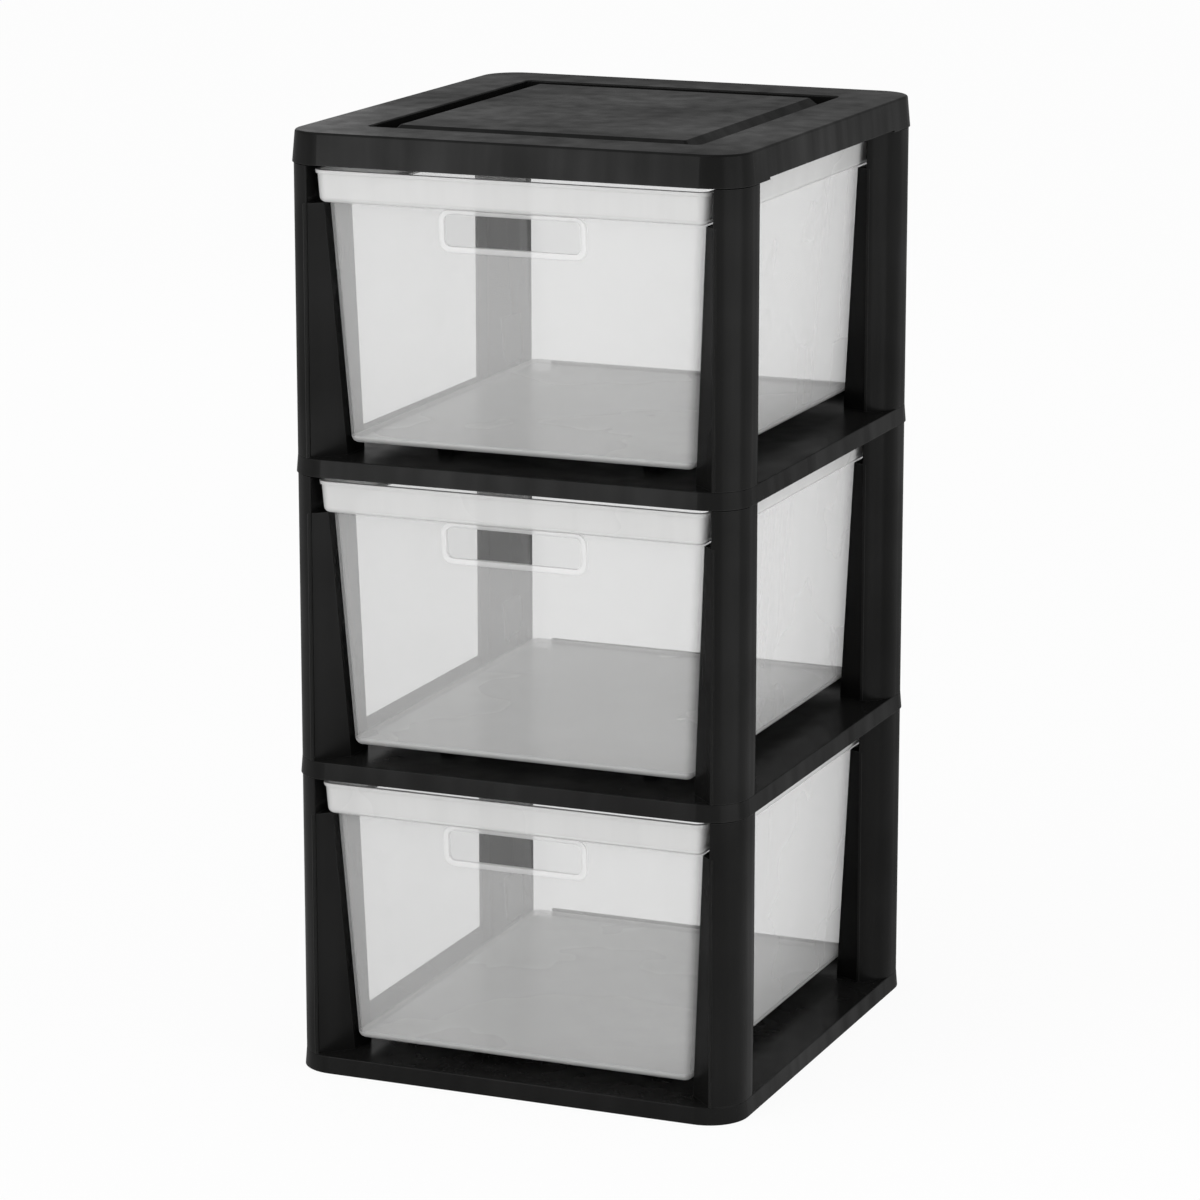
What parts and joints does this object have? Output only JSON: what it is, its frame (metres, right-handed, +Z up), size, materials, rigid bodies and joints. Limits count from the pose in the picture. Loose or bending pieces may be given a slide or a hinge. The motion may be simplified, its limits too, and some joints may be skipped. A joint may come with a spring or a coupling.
{
  "type": "plastic drawer tower",
  "caption": "Free-standing tower of see-through plastic drawers in a dark moulded frame with rounded corner posts, flat shelves and a recessed top.",
  "frame": {"origin": "middle of the base's underside, on the floor", "axes": "+X to the right seen from the front, -Y towards the front (the side the drawers open to), +Z up"},
  "size_m": [0.326, 0.357, 0.65],
  "materials": {
    "frame_plastic": "satin moulded black polypropylene",
    "drawer_plastic": "frosted translucent polypropylene"
  },
  "bodies": {
    "tower_frame": {"top_cover": "frame_plastic", "base_shelf": "frame_plastic", "lower_shelf": "frame_plastic", "upper_shelf": "frame_plastic", "bottom_front_left_post": "frame_plastic", "bottom_front_right_post": "frame_plastic", "bottom_rear_left_post": "frame_plastic", "bottom_rear_right_post": "frame_plastic", "middle_front_left_post": "frame_plastic", "middle_front_right_post": "frame_plastic", "middle_rear_left_post": "frame_plastic", "middle_rear_right_post": "frame_plastic", "top_front_left_post": "frame_plastic", "top_front_right_post": "frame_plastic", "top_rear_left_post": "frame_plastic", "top_rear_right_post": "frame_plastic"},
    "bottom_drawer_body": {"bottom_drawer": "drawer_plastic"},
    "middle_drawer_body": {"middle_drawer": "drawer_plastic"},
    "top_drawer_body": {"top_drawer": "drawer_plastic"}
  },
  "joints": [
    {"name": "bottom_drawer_slide", "type": "slide", "parent": "tower_frame", "child": "bottom_drawer_body", "axis": [0, -1, 0], "range_m": [0, 0.24]},
    {"name": "middle_drawer_slide", "type": "slide", "parent": "tower_frame", "child": "middle_drawer_body", "axis": [0, -1, 0], "range_m": [0, 0.24]},
    {"name": "top_drawer_slide", "type": "slide", "parent": "tower_frame", "child": "top_drawer_body", "axis": [0, -1, 0], "range_m": [0, 0.24]}
  ]
}
